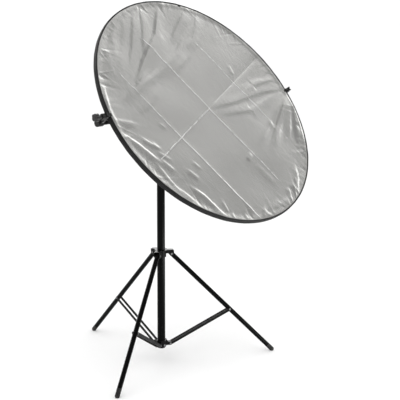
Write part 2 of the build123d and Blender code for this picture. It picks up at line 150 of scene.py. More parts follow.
# Each fold: points along it, height, half width of its steep face, half width of its gentle face,
# and whether the steep face looks towards the light (1) or away from it (-1).
FOLDS = [
    # soft folds that fan down from the top of the rim
    ([(36, 526), (-77, 380), (-222, 258), (-316, 166)], 3.4, 11, 44, -1),
    ([(184, 490), (60, 392), (-11, 330)], 2.3, 12, 44, -1),
    ([(146, 397), (-14, 278), (-147, 208), (-309, 137)], 2.4, 10, 28, -1),
    ([(171, 364), (59, 264), (-116, 175)], 1.2, 14, 22, 1),
    ([(-72, 504), (-144, 385), (-190, 300)], 1.6, 12, 30, -1),
    ([(-126, 510), (-244, 325), (-322, 224)], 1.6, 12, 30, -1),
    ([(-190, 495), (-290, 340), (-380, 215)], 1.1, 15, 30, -1),
    ([(-250, 480), (-321, 382), (-380, 250)], 1.5, 16, 28, -1),
    ([(-300, 440), (-372, 330), (-430, 220)], 1.2, 14, 24, -1),
    ([(-360, 400), (-430, 260)], 1.1, 14, 22, 1),
    ([(249, 463), (139, 343), (60, 300)], 1.6, 14, 28, -1),
    ([(340, 420), (250, 330)], 1.0, 14, 26, -1),
    ([(-236, 205), (-328, 140), (-440, 80)], 1.6, 10, 24, -1),
    ([(-210, 130), (-300, 60), (-390, 20)], 0.9, 12, 24, 1),
    # pulls from the right-hand clip
    ([(540, 100), (352, 75), (261, 46)], 1.3, 10, 26, -1),
    ([(560, 34), (402, 40), (177, 8), (18, -1)], 1.7, 12, 30, -1),
    ([(560, 76), (415, 92), (225, 66)], 0.8, 12, 26, 1),
    ([(497, 20), (255, -45), (46, -41)], 1.3, 12, 30, -1),
    ([(553, -26), (488, -152), (442, -238)], 5.0, 12, 26, -1),
    ([(547, -10), (482, -104), (392, -214)], 2.6, 14, 26, 1),
    ([(540, 0), (353, -157), (256, -233)], 4.4, 13, 30, -1),
    ([(500, -10), (313, -128), (194, -209)], 1.8, 16, 30, 1),
    ([(548, -90), (512, -190), (470, -262)], 1.4, 12, 22, 1),
    ([(545, -130), (500, -250), (440, -330)], 1.2, 12, 24, -1),
    # flares and puckers at the lower right
    ([(336, -352), (306, -412), (262, -462)], 1.9, 6, 18, 1),
    ([(300, -400), (235, -473)], 1.8, 7, 18, -1),
    ([(262, -424), (240, -467), (222, -500)], 1.6, 5, 14, 1),
    ([(219, -441), (192, -508)], 1.4, 5, 14, 1),
    ([(172, -488), (168, -522)], 0.9, 4, 10, 1),
    ([(105, -246), (61, -275)], 1.8, 6, 14, -1),
    ([(18, -496), (-2, -514), (-27, -535)], 1.6, 6, 12, -1),
    ([(101, -297), (159, -415)], 0.9, 12, 26, 1),
    ([(50, -515), (123, -506), (212, -482)], 1.4, 10, 22, -1),
    # hard glints at the lower left
    ([(-530, -62), (-481, -116), (-436, -183), (-414, -213)], 2.2, 6, 22, 1),
    ([(-440, -209), (-417, -293), (-389, -364)], 1.4, 5, 16, 1),
    ([(-452, -88), (-390, -150)], 1.5, 7, 18, 1),
    ([(-410, -194), (-364, -262)], 1.5, 7, 18, 1),
    ([(-408, -113), (-379, -158)], 1.0, 6, 14, 1),
    ([(-406, -161), (-355, -209)], 1.1, 6, 16, 1),
    ([(-329, -335), (-282, -390), (-257, -442), (-228, -495)], 2.3, 7, 20, 1),
    ([(-399, -329), (-342, -406)], 1.6, 6, 16, 1),
    ([(-300, -262), (-263, -313)], 1.2, 7, 18, 1),
    ([(-249, -233), (-227, -271)], 1.0, 6, 14, 1),
    ([(-200, -425), (-200, -485)], 1.1, 5, 14, 1),
    ([(-181, -485), (-190, -520)], 1.0, 4, 11, 1),
    ([(-115, -505), (-118, -538)], 0.9, 4, 11, 1),
    ([(-547, 7), (-435, -28)], 1.2, 9, 20, 1),
    ([(-496, 185), (-542, 54), (-540, -40)], 1.4, 8, 20, 1),
    ([(-316, -40), (-296, -66)], 0.8, 7, 14, 1),
    ([(266, 193), (267, 138)], 0.8, 8, 18, 1),
    ([(329, -107), (339, -162)], 0.8, 7, 16, 1),
]

# Packing creases, where the cover was folded flat: unit normal in the plane, direction of the
# line, distance of the line from the middle, its two ends, the height at each end, half width and
# the strength at each end of the line painted along it: worn film and painted highlight on the
# silver side, painted shade on the white side. A height below zero is a valley.
CREASE_NORMAL = np.array([0.908, 0.419])
CREASE_LINE = np.array([0.419, -0.908])
CREASES = [
    (CREASE_NORMAL, CREASE_LINE, 4, -412, 452, 0.30, 0.35, 4.0, 0.50, 0.40),
    (CREASE_NORMAL, CREASE_LINE, -265, -372, 482, 0.25, 0.90, 4.5, 0.25, 1.00),
    (CREASE_NORMAL, CREASE_LINE, 262, -262, 395, 0.10, 0.10, 4.0, 0.36, 0.20),
    (-CREASE_LINE, CREASE_NORMAL, -8, -462, 40, 0.80, 0.10, 5.0, 0.85, 0.30),
    (-CREASE_LINE, CREASE_NORMAL, -8, 40, 548, -1.10, -2.60, 6.0, 0.30, 0.06),
]

FOLD_GAIN = 1.6
SINK = 2.4  # how far the fabric lies below the rim, inside the hoop
SINK_FROM, SINK_TO = 520.0, 545.0  # the radii between which it comes up to the rim
EASE_IN = 12.0  # how far inside SINK_TO the folds start to fade
SEAM_IN = 1.5  # how far inside the cover's edge they are gone
FRONT_WAVES, BACK_WAVES = 0.8, 0.9
FRONT_PUCKERS = (150, 0.9)  # how many, and how high
BACK_PUCKERS = (170, 1.0)
BACK_CREASE, BACK_CREASE_WIDTH = 0.8, 1.6
TAPER_FROM, TAPER_TO = -0.12, 0.3  # the share of a fold over which it rises at each end
CREASE_OUT, CREASE_IN = 20, 60  # how far past its end, and before it, a crease fades
CREASE_SPREAD = 4  # a crease's shaded side is this much wider than its lit side


def smoothstep(x, low, high):
    t = np.clip((x - low) / (high - low), 0, 1)
    return t * t * (3 - 2 * t)


def along_fold(points, path):
    """Each point's distance from a path, positive towards the light, and its share along it."""
    path = np.asarray(path, float)
    steps = np.diff(path, axis=0)
    lengths = np.linalg.norm(steps, axis=1)
    before = np.concatenate([[0], np.cumsum(lengths)])
    best = np.full(len(points), np.inf)
    side = np.ones(len(points))
    share = np.zeros(len(points))
    for start, step, length, done in zip(path, steps, lengths, before):
        direction = step / length
        normal = np.array([direction[1], -direction[0]])
        normal = normal * (1 if normal @ TOWARDS_LIGHT > 0 else -1)
        offset = points - start
        t = np.clip(offset @ direction, 0, length)
        gap = offset - t[:, None] * direction
        distance = np.linalg.norm(gap, axis=1)
        nearer = distance < best
        best = np.where(nearer, distance, best)
        side = np.where(nearer, np.sign(gap @ normal), side)
        share = np.where(nearer, (done + t) / before[-1], share)
    return best * side, share


def fold_height(points, path, height, steep, gentle, facing):
    distance, share = along_fold(points, path)
    width = np.where(distance * facing > 0, steep, gentle)
    taper = smoothstep(share, TAPER_FROM, TAPER_TO) * smoothstep(1 - share, TAPER_FROM, TAPER_TO)
    return height * taper * np.exp(-((distance / width) ** 2))


def crease_height(points, normal, line, offset, start, end, height_start, height_end, width):
    distance = points @ normal - offset
    along = points @ line
    first = smoothstep(along, start - CREASE_OUT, start + CREASE_IN)
    last = smoothstep(-along, -end - CREASE_OUT, -end + CREASE_IN)
    height = height_start + (height_end - height_start) * smoothstep(along, start, end)
    lit = distance * (normal @ TOWARDS_LIGHT) > 0
    wide = np.where(lit, width, CREASE_SPREAD * width)
    return height * (first * last) * np.exp(-np.abs(distance) / wide)


def soft_waves(points):
    """Slow waves over the whole sheet, from the pull of the hoop."""
    random = np.random.default_rng(SEED)
    total = np.zeros(len(points))
    for _ in range(9):
        angle = random.uniform(0, math.pi)
        length = random.uniform(170, 420)
        direction = np.array([math.cos(angle), math.sin(angle)])
        phase = random.uniform(0, 6.3)
        total += length / 300 * np.sin(points @ direction * 2 * math.pi / length + phase)
    return total / 3


def rim_puckers(points, seed, count, height):
    """Small gathers that run in from the rim where the cover is sewn to its binding."""
    random = np.random.default_rng(seed)
    radius = np.hypot(points[:, 0], points[:, 1])
    angle = np.arctan2(points[:, 1], points[:, 0])
    total = np.zeros(len(points))
    for _ in range(count):
        middle = random.uniform(-math.pi, math.pi)
        skew = random.normal(0, 0.5)
        reach = random.uniform(25, 90)
        wide = random.uniform(4, 11)
        away = (angle - middle + math.pi) % (2 * math.pi) - math.pi
        depth = COVER_R / MM - radius
        across = away * radius + skew * depth
        rise = np.exp(-((across / wide) ** 2)) * np.exp(-((depth / reach) ** 2))
        rise = rise * smoothstep(depth, 0, 10)
        total += height * random.choice([-1, 1]) * random.uniform(0.4, 1) * rise
    return total


def settle(points, total):
    """Fades the folds out at the seam and sinks the fabric inside the hoop."""
    radius = np.hypot(points[:, 0], points[:, 1])
    inside = 1 - smoothstep(radius, SINK_TO - EASE_IN, COVER_R / MM - SEAM_IN)
    return total * inside - SINK * (1 - smoothstep(radius, SINK_FROM, SINK_TO))


def front_relief(points):
    """Height of the silver cover over its seam, in millimetres, at points in the disc plane."""
    total = np.zeros(len(points))
    for path, height, steep, gentle, facing in FOLDS:
        total += fold_height(points, path, height, steep, gentle, facing)
    for crease in CREASES:
        total += crease_height(points, *crease[:8])
    total += FRONT_WAVES * soft_waves(points)
    total += rim_puckers(points, SEED + 1, *FRONT_PUCKERS)
    return settle(points, FOLD_GAIN * total)


def back_relief(points):
    """The same for the cover on the far side, which is smoother."""
    total = np.zeros(len(points))
    for normal, line, offset, start, end, _, _, width, _, _ in CREASES:
        wide = BACK_CREASE_WIDTH * width
        total += BACK_CREASE * crease_height(points, normal, line, -offset, start, end, 1, 1, wide)
    total += BACK_WAVES * soft_waves(points[:, ::-1])
    total += rim_puckers(points, SEED + 2, *BACK_PUCKERS)
    return settle(points, total)


# -------------------- sheets of fabric


def round_grid(count):
    """A square grid bent to a disc of radius 1, with cells of nearly even size."""
    line = np.linspace(-1, 1, count)
    a, b = np.meshgrid(line, line, indexing="ij")
    wide = np.abs(a) > np.abs(b)
    radius = np.where(wide, a, b)
    with np.errstate(divide="ignore", invalid="ignore"):
        turn = np.where(wide, b / a, a / b) * math.pi / 4
    turn = np.nan_to_num(turn)
    x = np.where(wide, radius * np.cos(turn), radius * np.sin(turn))
    y = np.where(wide, radius * np.sin(turn), radius * np.cos(turn))
    return np.stack([x.ravel(), y.ravel()], axis=1)


def cloth_disc(name, radius, level, relief, count, outward=1):
    """A round sheet whose heights come from relief. With outward -1 it faces the other way."""
    flat = round_grid(count) * radius
    height = level + outward * relief(flat / MM) * MM
    points = place(np.column_stack([flat, height]))
    faces = grid_faces(count, count)
    if outward < 0:
        faces = faces[:, ::-1]
    made = mesh_object(name, points, faces)
    set_uv(made, flat / (2 * radius) + 0.5)
    return made


def swept_ring(name, section, angles, closed, wobble=None):
    """A closed section (radius, height) carried round the rim, capped where it stops."""
    section = np.asarray(section, float)
    count = len(angles)
    shift = np.zeros((count, 2)) if wobble is None else wobble
    radius = section[None, :, 0] + shift[:, None, 0]
    height = section[None, :, 1] + shift[:, None, 1]
    points = ring_points(radius, angles[:, None], height)
    faces = grid_faces(count, len(section), wrap_rows=closed, wrap_columns=True)
    faces = [tuple(f) for f in faces]
    if not closed:
        last = (count - 1) * len(section)
        faces.append(tuple(range(len(section) - 1, -1, -1)))
        faces.append(tuple(range(last, last + len(section))))
    made = mesh_object(name, points, faces)
    walk = np.concatenate([[0], np.cumsum(np.linalg.norm(np.diff(section, axis=0), axis=1))])
    length = angles * section[:, 0].mean()
    uv = np.stack(np.broadcast_arrays(length[:, None], walk[None, :]), axis=-1).reshape(-1, 2)
    set_uv(made, uv)
    return made


def rounded_band(path, thickness, rounds=3):
    """Outline of a tape of even thickness that follows an open path of (radius, height) points."""
    path = np.asarray(path, float)
    tangent = np.gradient(path, axis=0)
    tangent = tangent / np.linalg.norm(tangent, axis=1)[:, None]
    normal = np.stack([tangent[:, 1], -tangent[:, 0]], axis=1)
    outer = path + normal * thickness / 2
    inner = path - normal * thickness / 2

    def cap(end, out, way):
        across, beyond = out * normal[end], way * tangent[end]
        turns = np.linspace(0, math.pi, rounds + 2)[1:-1]
        return [
            path[end] + thickness / 2 * (math.cos(t) * across + math.sin(t) * beyond)
            for t in turns
        ]

    return np.array([*outer, *cap(-1, 1, 1), *inner[::-1], *cap(0, -1, -1)])


def smooth_path(points, per_step):
    """A Catmull-Rom curve through points, clamped at its ends."""
    points = np.asarray(points, float)
    padded = np.vstack([2 * points[0] - points[1], points, 2 * points[-1] - points[-2]])
    made = []
    for i in range(1, len(padded) - 2):
        a, b, c, d = padded[i - 1 : i + 3]
        for t in np.arange(per_step) / per_step:
            square = (2 * a - 5 * b + 4 * c - d) * t**2
            cube = (3 * b - a - 3 * c + d) * t**3
            made.append(0.5 * (2 * b + (c - a) * t + square + cube))
    made.append(points[-1])
    return np.array(made)


BEAD_SIDES = 6
# The rings of a bead: their share of its length, and their width. The two ends are points.
BEAD_RINGS = [(0.0, 0.0), (0.12, 0.75), (0.35, 1.0), (0.65, 1.0), (0.88, 0.75), (1.0, 0.0)]


def beads(name, starts, ends, radius):
    """Many short rounded bars, from each start to each end, in one mesh."""
    sides = BEAD_SIDES
    starts, ends = np.asarray(starts, float), np.asarray(ends, float)
    axis = ends - starts
    length = np.linalg.norm(axis, axis=1, keepdims=True)
    axis = axis / length
    helper = np.where(np.abs(axis @ NORMAL)[:, None] > 0.9, ALONG, NORMAL)
    first = np.cross(axis, helper)
    first = first / np.linalg.norm(first, axis=1, keepdims=True)
    second = np.cross(axis, first)
    turns = np.arange(sides) * 2 * math.pi / sides
    around = first[:, None, :] * np.cos(turns)[None, :, None]
    around = around + second[:, None, :] * np.sin(turns)[None, :, None]
    rings = []
    for share, fat in BEAD_RINGS:
        middle = starts + axis * length * share
        if fat == 0:
            rings.append(middle[:, None, :])
            continue
        rings.append(middle[:, None, :] + radius * fat * around)
    per_bar = 2 + 4 * sides
    points = np.concatenate(rings, axis=1).reshape(-1, 3)
    pattern = []
    for k in range(sides):
        n = (k + 1) % sides
        pattern.append((0, 1 + n, 1 + k))
        for level in range(3):
            base = 1 + level * sides
            pattern.append((base + k, base + n, base + sides + n, base + sides + k))
        top = 1 + 3 * sides
        pattern.append((top + k, top + n, per_bar - 1))
    faces = [tuple(i + bar * per_bar for i in f) for bar in range(len(starts)) for f in pattern]
    return mesh_object(name, points, faces)


def dress(made, finish, body, slot=None, *nodes):
    """Gives a new piece its material and its body, and hides the CAD nodes it stands for. slot is
    not used.
    """
    made.data.materials.append(finish)
    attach(made, body)
    if nodes:
        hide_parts(*nodes)
    return made


# -------------------- materials


class Finish:
    """A node material being built: short calls that add a node and return its output."""

    def __init__(self, name):
        self.material = bpy.data.materials.new(name)
        self.material.use_nodes = True
        self.nodes = self.material.node_tree.nodes
        self.links = self.material.node_tree.links
        self.shader = self.nodes["Principled BSDF"]

    def put(self, socket, value):
        if isinstance(value, bpy.types.NodeSocket):
            self.links.new(value, socket)
        else:
            socket.default_value = value

    def node(self, kind, output, inputs, **settings):
        made = self.nodes.new(kind)
        for key, value in settings.items():
            setattr(made, key, value)
        for key, value in inputs.items():
            self.put(made.inputs[key], value)
        return made.outputs[output]

    def coordinates(self, which="Object"):
        return self.node("ShaderNodeTexCoord", which, {})

    def scaled(self, vector, scale, rotation=(0, 0, 0), location=(0, 0, 0)):
        inputs = {"Vector": vector, "Scale": scale, "Rotation": rotation, "Location": location}
        return self.node("ShaderNodeMapping", "Vector", inputs)

    def noise(self, vector, scale, detail=3.0, rough=0.5, distortion=0.0):
        inputs = {
            "Vector": vector,
            "Scale": scale,
            "Detail": detail,
            "Roughness": rough,
            "Distortion": distortion,
        }
        return self.node("ShaderNodeTexNoise", "Fac", inputs)

    def cells(self, vector, scale):
        inputs = {"Vector": vector, "Scale": scale}
        return self.node("ShaderNodeTexVoronoi", "Distance", inputs)

    def math(self, operation, a, b=0.0, clamp=False):
        return self.node("ShaderNodeMath", 0, {0: a, 1: b}, operation=operation, use_clamp=clamp)

    def dot(self, a, b):
        return self.node("ShaderNodeVectorMath", "Value", {0: a, 1: b}, operation="DOT_PRODUCT")

    def remap(self, value, low, high, to_low, to_high, smooth=False):
        inputs = {"Value": value, 1: low, 2: high, 3: to_low, 4: to_high}
        kind = "SMOOTHSTEP" if smooth else "LINEAR"
        return self.node("ShaderNodeMapRange", "Result", inputs, interpolation_type=kind)

    def blend(self, factor, a, b):
        made = self.nodes.new("ShaderNodeMix")
        made.data_type = "RGBA"
        self.put(made.inputs[0], factor)
        self.put(made.inputs[6], a)
        self.put(made.inputs[7], b)
        return made.outputs[2]

    def bump(self, height, strength, distance, normal=None):
        inputs = {"Height": height, "Strength": strength, "Distance": distance}
        if normal is not None:
            inputs["Normal"] = normal
        return self.node("ShaderNodeBump", "Normal", inputs)

    def set(self, **values):
        for key, value in values.items():
            self.put(self.shader.inputs[key.replace("_", " ")], value)
        return self.material


def grey(value, warm=0.0):
    return (value * (1 + warm), value, value * (1 - warm), 1.0)


def painted_metal(name, shade, roughness, specular):
    """Black paint on metal: faint orange peel, handling marks and rubbed patches."""
    f = Finish(name)
    at = f.coordinates()
    patches = f.noise(at, 9.0, 4.0, 0.6)
    marks = f.noise(f.scaled(at, (260, 260, 14)), 1.0, 2.0, 0.6)
    peel = f.noise(at, 900.0, 2.0, 0.5)
    handled = f.remap(patches, 0.5, 0.72, 0, 1, True)
    rubbed = f.math("MULTIPLY", handled, f.remap(marks, 0.5, 0.75, 0, 1, True))
    colour = f.blend(rubbed, grey(shade), grey(shade * 2.2, 0.02))
    spread = f.remap(patches, 0.3, 0.7, roughness * 0.82, roughness * 1.22)
    f.set(
        Base_Color=colour,
        Roughness=f.math("ADD", spread, f.math("MULTIPLY", rubbed, 0.12)),
        Metallic=0.0,
        Specular_IOR_Level=specular,
        Normal=f.bump(peel, 0.5, 0.00004),
    )
    return f.material


def cast_metal(name, shade, roughness, specular):
    """Sand-textured black casting with slightly brighter worn high spots."""
    f = Finish(name)
    at = f.coordinates()
    grain = f.noise(at, 1400.0, 3.0, 0.6)
    cells = f.cells(at, 700.0)
    patches = f.noise(at, 22.0, 3.0, 0.55)
    worn = f.remap(patches, 0.35, 0.75, 0, 1, True)
    colour = f.blend(worn, grey(shade), grey(shade * 1.9, 0.03))
    height = f.math("ADD", grain, f.math("MULTIPLY", cells, 0.5))
    f.set(
        Base_Color=colour,
        Roughness=f.remap(grain, 0.3, 0.7, roughness * 0.85, roughness * 1.15),
        Specular_IOR_Level=specular,
        Normal=f.bump(height, 0.6, 0.00012),
    )
    return f.material


def bare_metal(name, shade, roughness, stretch=(40, 40, 900), warm=0.0):
    """Bright metal with the fine lines of how it was turned or rolled."""
    f = Finish(name)
    at = f.coordinates()
    lines = f.noise(f.scaled(at, stretch), 1.0, 3.0, 0.6)
    dull = f.noise(at, 60.0, 3.0, 0.6)
    colour = f.blend(dull, grey(shade * 0.86, warm), grey(shade, warm))
    f.set(
        Base_Color=colour,
        Metallic=1.0,
        Roughness=f.remap(lines, 0.3, 0.7, roughness * 0.7, roughness * 1.3),
        Normal=f.bump(lines, 0.25, 0.00005),
    )
    return f.material


def moulded_plastic(name, shade, roughness, specular, warm=0.0):
    """Moulded plastic with a spark-eroded grain and a slight flow pattern."""
    f = Finish(name)
    at = f.coordinates()
    grain = f.cells(at, 1300.0)
    flow = f.noise(at, 35.0, 3.0, 0.5, 0.6)
    colour = f.blend(flow, grey(shade * 0.85, warm), grey(shade * 1.2, warm))
    f.set(
        Base_Color=colour,
        Roughness=f.remap(flow, 0.3, 0.7, roughness * 0.88, roughness * 1.14),
        Specular_IOR_Level=specular,
        Normal=f.bump(grain, 0.5, 0.00008),
    )
    return f.material


def rubber(name, shade):
    """Matt rubber with dust in its pores."""
    f = Finish(name)
    at = f.coordinates()
    pores = f.noise(at, 1100.0, 3.0, 0.7)
    dust = f.noise(at, 45.0, 4.0, 0.6)
    height = f.node("ShaderNodeSeparateXYZ", "Z", {0: at})
    low = f.remap(height, 0.0, 0.018, 0.8, 0.0, True)
    lying = f.remap(dust, 0.42, 0.75, 0, 1, True)
    dusty = f.math("MULTIPLY", lying, f.math("ADD", low, 0.25), clamp=True)
    f.set(
        Base_Color=f.blend(dusty, grey(shade), (0.14, 0.135, 0.125, 1)),
        Roughness=f.remap(pores, 0.3, 0.7, 0.68, 0.88),
        Specular_IOR_Level=0.3,
        Normal=f.bump(pores, 0.6, 0.00015),
    )
    return f.material


def weave_height(f, at, pitch):
    """Plain weave: threads over and under, from two crossed sine waves. at is in metres."""
    turns = 2 * math.pi / pitch
    across = f.math("SINE", f.math("MULTIPLY", f.dot(at, (1, 0, 0)), turns))
    down = f.math("SINE", f.math("MULTIPLY", f.dot(at, (0, 1, 0)), turns))
    return f.math("MULTIPLY", across, down)


def crease_line_mask(f, at, sign=1):
    """How strongly a line is painted along the packing creases, 0 to 1: worn film and painted
    highlight on the silver side, painted shade on the white side. at is in metres.
    """
    wander = f.math("MULTIPLY", f.math("SUBTRACT", f.noise(at, 16.0, 2.0), 0.5), 0.010)
    broken = f.remap(f.noise(at, 34.0, 3.0, 0.65), 0.34, 0.62, 0.25, 1.0, True)
    total = None
    for normal, line, offset, start, end, _, _, _, mark_start, mark_end in CREASES:
        away = f.math("SUBTRACT", f.dot(at, (*normal, 0)), sign * offset * MM)
        away = f.math("ABSOLUTE", f.math("ADD", away, wander))
        near = f.remap(away, 0.0004, 0.0030, 1, 0, True)
        along = f.dot(at, (*line, 0))
        strength = f.remap(along, start * MM, end * MM, mark_start, mark_end)
        first = f.remap(along, (start - 10) * MM, (start + 40) * MM, 0, 1, True)
        last = f.remap(along, (end - 40) * MM, (end + 10) * MM, 1, 0, True)
        ends = f.math("MULTIPLY", first, last)
        each = f.math("MULTIPLY", f.math("MULTIPLY", near, strength), ends)
        total = each if total is None else f.math("MAXIMUM", total, each)
    return f.math("MULTIPLY", total, broken)


def plane_coordinates(f, radius):
    """The cover's flat map as metres from its middle."""
    return f.scaled(f.coordinates("UV"), (2 * radius,) * 3, location=(-radius, -radius, 0))


SILVER_DARK, SILVER_LIGHT = (0.408, 0.406, 0.390, 1), (0.452, 0.451, 0.439, 1)
# The near-white laid along the creases: worn film, and also a painted highlight for their bright
# lines.
SILVER_WORN_HIGHLIGHT = (0.93, 0.93, 0.92, 1)


def silver_fabric(name, radius):
    """Metallised polyester: a bright film over a weave, crinkled, and along its creases worn to a
    dull near-white that also serves as a painted highlight.
    """
    f = Finish(name)
    at = plane_coordinates(f, radius)
    # Along the creases the film turns near-white, less metallic and rougher: worn film and a
    # painted highlight.
    crease_marks = crease_line_mask(f, at)
    cloud = f.noise(at, 5.0, 4.0, 0.55)
    crinkle = f.noise(f.scaled(at, (46, 26, 30), rotation=(0, 0, 0.42)), 1.0, 4.0, 0.62, 0.5)
    fine = f.noise(f.scaled(at, (190, 110, 120), rotation=(0, 0, 0.42)), 1.0, 3.0, 0.6)
    colour = f.blend(crease_marks, f.blend(cloud, SILVER_DARK, SILVER_LIGHT), SILVER_WORN_HIGHLIGHT)
    rough = f.remap(cloud, 0.3, 0.7, 0.20, 0.27)
    weave = f.bump(weave_height(f, at, 0.0011), 0.25, 0.00005)
    small = f.bump(fine, 0.35, 0.0004, weave)
    f.set(
        Base_Color=colour,
        Metallic=f.math("SUBTRACT", 0.94, f.math("MULTIPLY", crease_marks, 0.75)),
        Roughness=f.math("ADD", rough, f.math("MULTIPLY", crease_marks, 0.2)),
        Normal=f.bump(crinkle, 0.4, 0.0022, small),
    )
    return f.material


def white(shade, yellow):
    return (shade, shade, shade * (1 - yellow), 1)


def white_fabric(name, radius, shade, translucent=0.0):
    """White polyester with a visible weave, light soiling and painted shade along its creases."""
    f = Finish(name)
    at = plane_coordinates(f, radius)
    crease_marks = crease_line_mask(f, at, -1)
    cloud = f.noise(at, 4.0, 4.0, 0.6)
    crinkle = f.noise(f.scaled(at, (40, 24, 30), rotation=(0, 0, 0.9)), 1.0, 4.0, 0.6, 0.4)
    colour = f.blend(cloud, white(shade * 0.96, 0.021), white(shade, 0.015))
    # Darker along the creases: painted shade.
    colour = f.blend(f.math("MULTIPLY", crease_marks, 0.35), colour, white(shade * 0.8, 0.0125))
    weave = f.bump(weave_height(f, at, 0.0012), 0.35, 0.00008)
    f.set(
        Base_Color=colour,
        Roughness=f.remap(crinkle, 0.3, 0.7, 0.52, 0.68),
        Sheen_Weight=0.2,
        Sheen_Roughness=0.5,
        Transmission_Weight=translucent,
        Specular_IOR_Level=0.35,
        Normal=f.bump(crinkle, 0.35, 0.0016, weave),
    )
    return f.material


TAPE_THREAD, TAPE_RIB = 0.0009, 0.0022


def woven_tape(name, shade):
    """Black grosgrain: ribs across the tape and a little fuzz."""
    f = Finish(name)
    at = f.coordinates("UV")
    ribs = f.math("SINE", f.math("MULTIPLY", f.dot(at, (1, 0, 0)), 2 * math.pi / TAPE_RIB))
    threads = weave_height(f, at, TAPE_THREAD)
    fuzz = f.noise(at, 700.0, 3.0, 0.6)
    fade = f.noise(at, 6.0, 3.0, 0.55)
    colour = f.blend(f.remap(fade, 0.35, 0.7, 0, 1, True), grey(shade), grey(shade * 1.8, 0.03))
    height = f.math("ADD", f.math("MULTIPLY", ribs, 0.6), f.math("MULTIPLY", threads, 0.4))
    f.set(
        Base_Color=colour,
        Roughness=f.remap(fuzz, 0.3, 0.7, 0.72, 0.9),
        Specular_IOR_Level=0.22,
        Sheen_Weight=0.12,
        Sheen_Roughness=0.45,
        Normal=f.bump(f.math("ADD", height, f.math("MULTIPLY", fuzz, 0.5)), 0.7, 0.00022),
    )
    return f.material


FINISHES = {
    "black_tube": painted_metal("black_tube_paint", 0.0015, 0.22, 0.06),
    "black_casting": cast_metal("black_casting_grain", 0.006, 0.42, 0.22),
    "black_sheet_metal": painted_metal("black_sheet_paint", 0.003, 0.4, 0.12),
    "rivet_steel": bare_metal("rivet_bright", 0.27, 0.42, (300, 300, 300)),
    "spring_steel": bare_metal("spring_band", 0.5, 0.34),
    "aluminium": bare_metal("turned_aluminium", 0.72, 0.3, (200, 200, 1500)),
    "knob_plastic": moulded_plastic("knob_black", 0.008, 0.33, 0.45),
    "glide_plastic": moulded_plastic("glide_grey", 0.25, 0.45, 0.4, 0.01),
    "foot_rubber": rubber("foot_rubber_black", 0.012),
    "zip_coil": moulded_plastic("zip_coil_black", 0.012, 0.45, 0.35),
    "zip_metal": bare_metal("zip_gunmetal", 0.16, 0.38, (500, 500, 500)),
    "black_tape": woven_tape("black_grosgrain", 0.008),
}

SLOT_OF = {part["node"]: part["material_slot"] for part in frame["record"]["subparts"]}

# -------------------- the covers and what is between them

COVER_GRID = 250
COVER_LIFT = 0.0006  # the cloth lies this far outside its CAD solid's inner face
FRONT_LEVEL = front_low[2] - CENTRE @ NORMAL + COVER_LIFT
BACK_LEVEL = back_high[2] - CENTRE @ NORMAL - COVER_LIFT

silver = dress(
    cloth_disc("silver_cloth", COVER_R, FRONT_LEVEL, front_relief, COVER_GRID),
    silver_fabric("silver_film", COVER_R),
    "arm",
    "silver_fabric",
    "silver_cover",
)
back = dress(
    cloth_disc("back_cloth", COVER_R, BACK_LEVEL, back_relief, COVER_GRID // 2, -1),
    white_fabric("back_white", COVER_R, 0.8),
    "arm",
    "back_fabric",
    "back_cover",
)

panel_low, panel_high = in_disc_axes("diffuser_panel")
PANEL_R = (panel_high[0] - panel_low[0]) / 2
sleeve_low, sleeve_high = in_disc_axes("diffuser_sleeve")
SLEEVE_R = (sleeve_high[0] - sleeve_low[0]) / 2
SLEEVE_HALF = (sleeve_high[2] - sleeve_low[2]) / 2


def faint_relief(points):
    return 0.05 * soft_waves(points)


diffuser = dress(
    cloth_disc("diffuser_cloth", PANEL_R, 0.0, faint_relief, COVER_GRID // 3),
    white_fabric("diffuser_white", PANEL_R, 0.86, 0.25),
    "arm",
    "diffuser_fabric",
    "diffuser_panel",
)

RING_STEPS = 720
PATH_STEPS = 3  # points on each step of a tape's outline
HEM_THICK = 0.0004
turn = np.linspace(0, 2 * math.pi, RING_STEPS + 1)[:-1]
sleeve_path = smooth_path(
    [
        (PANEL_R - 0.0010, SLEEVE_HALF * 0.10),
        (PANEL_R + 0.0008, SLEEVE_HALF * 0.62),
        (SLEEVE_R - 0.0017, SLEEVE_HALF * 0.97),
        (SLEEVE_R - 0.0004, SLEEVE_HALF * 0.60),
        (SLEEVE_R - 0.0003, -SLEEVE_HALF * 0.60),
        (SLEEVE_R - 0.0017, -SLEEVE_HALF * 0.97),
        (PANEL_R + 0.0008, -SLEEVE_HALF * 0.62),
        (PANEL_R - 0.0010, -SLEEVE_HALF * 0.10),
    ],
    PATH_STEPS,
)
sleeve = dress(
    swept_ring("diffuser_hem", rounded_band(sleeve_path, HEM_THICK), turn, True),
    FINISHES["black_tape"],
    "arm",
    "diffuser_fabric",
    "diffuser_sleeve",
)

# -------------------- edge binding, stitching and zip

LIP_R = COVER_R - 0.0022
LIP_H = HALF_DEPTH - 0.0002
BINDING_THICK = 0.0008
binding_path = smooth_path(
    [
        (LIP_R - 0.0012, LIP_H - 0.0003),
        (LIP_R + 0.0008, LIP_H + 0.0001),
        (RIM_R - 0.0012, LIP_H - 0.0001),
        (RIM_R - 0.0003, LIP_H - 0.0018),
        (RIM_R + 0.0001, LIP_H * 0.45),
        (RIM_R + 0.0002, 0.0),
        (RIM_R + 0.0001, -LIP_H * 0.45),
        (RIM_R - 0.0003, -LIP_H + 0.0018),
        (RIM_R - 0.0012, -LIP_H + 0.0001),
        (LIP_R + 0.0008, -LIP_H - 0.0001),
        (LIP_R - 0.0012, -LIP_H + 0.0003),
    ],
    PATH_STEPS,
)
binding_wobble = np.column_stack(
    [
        0.00018 * smooth_noise(turn, SEED + 3, 12, 5, 60),
        0.00028 * smooth_noise(turn, SEED + 4, 12, 4, 70),
    ]
)
binding_band = rounded_band(binding_path, BINDING_THICK)
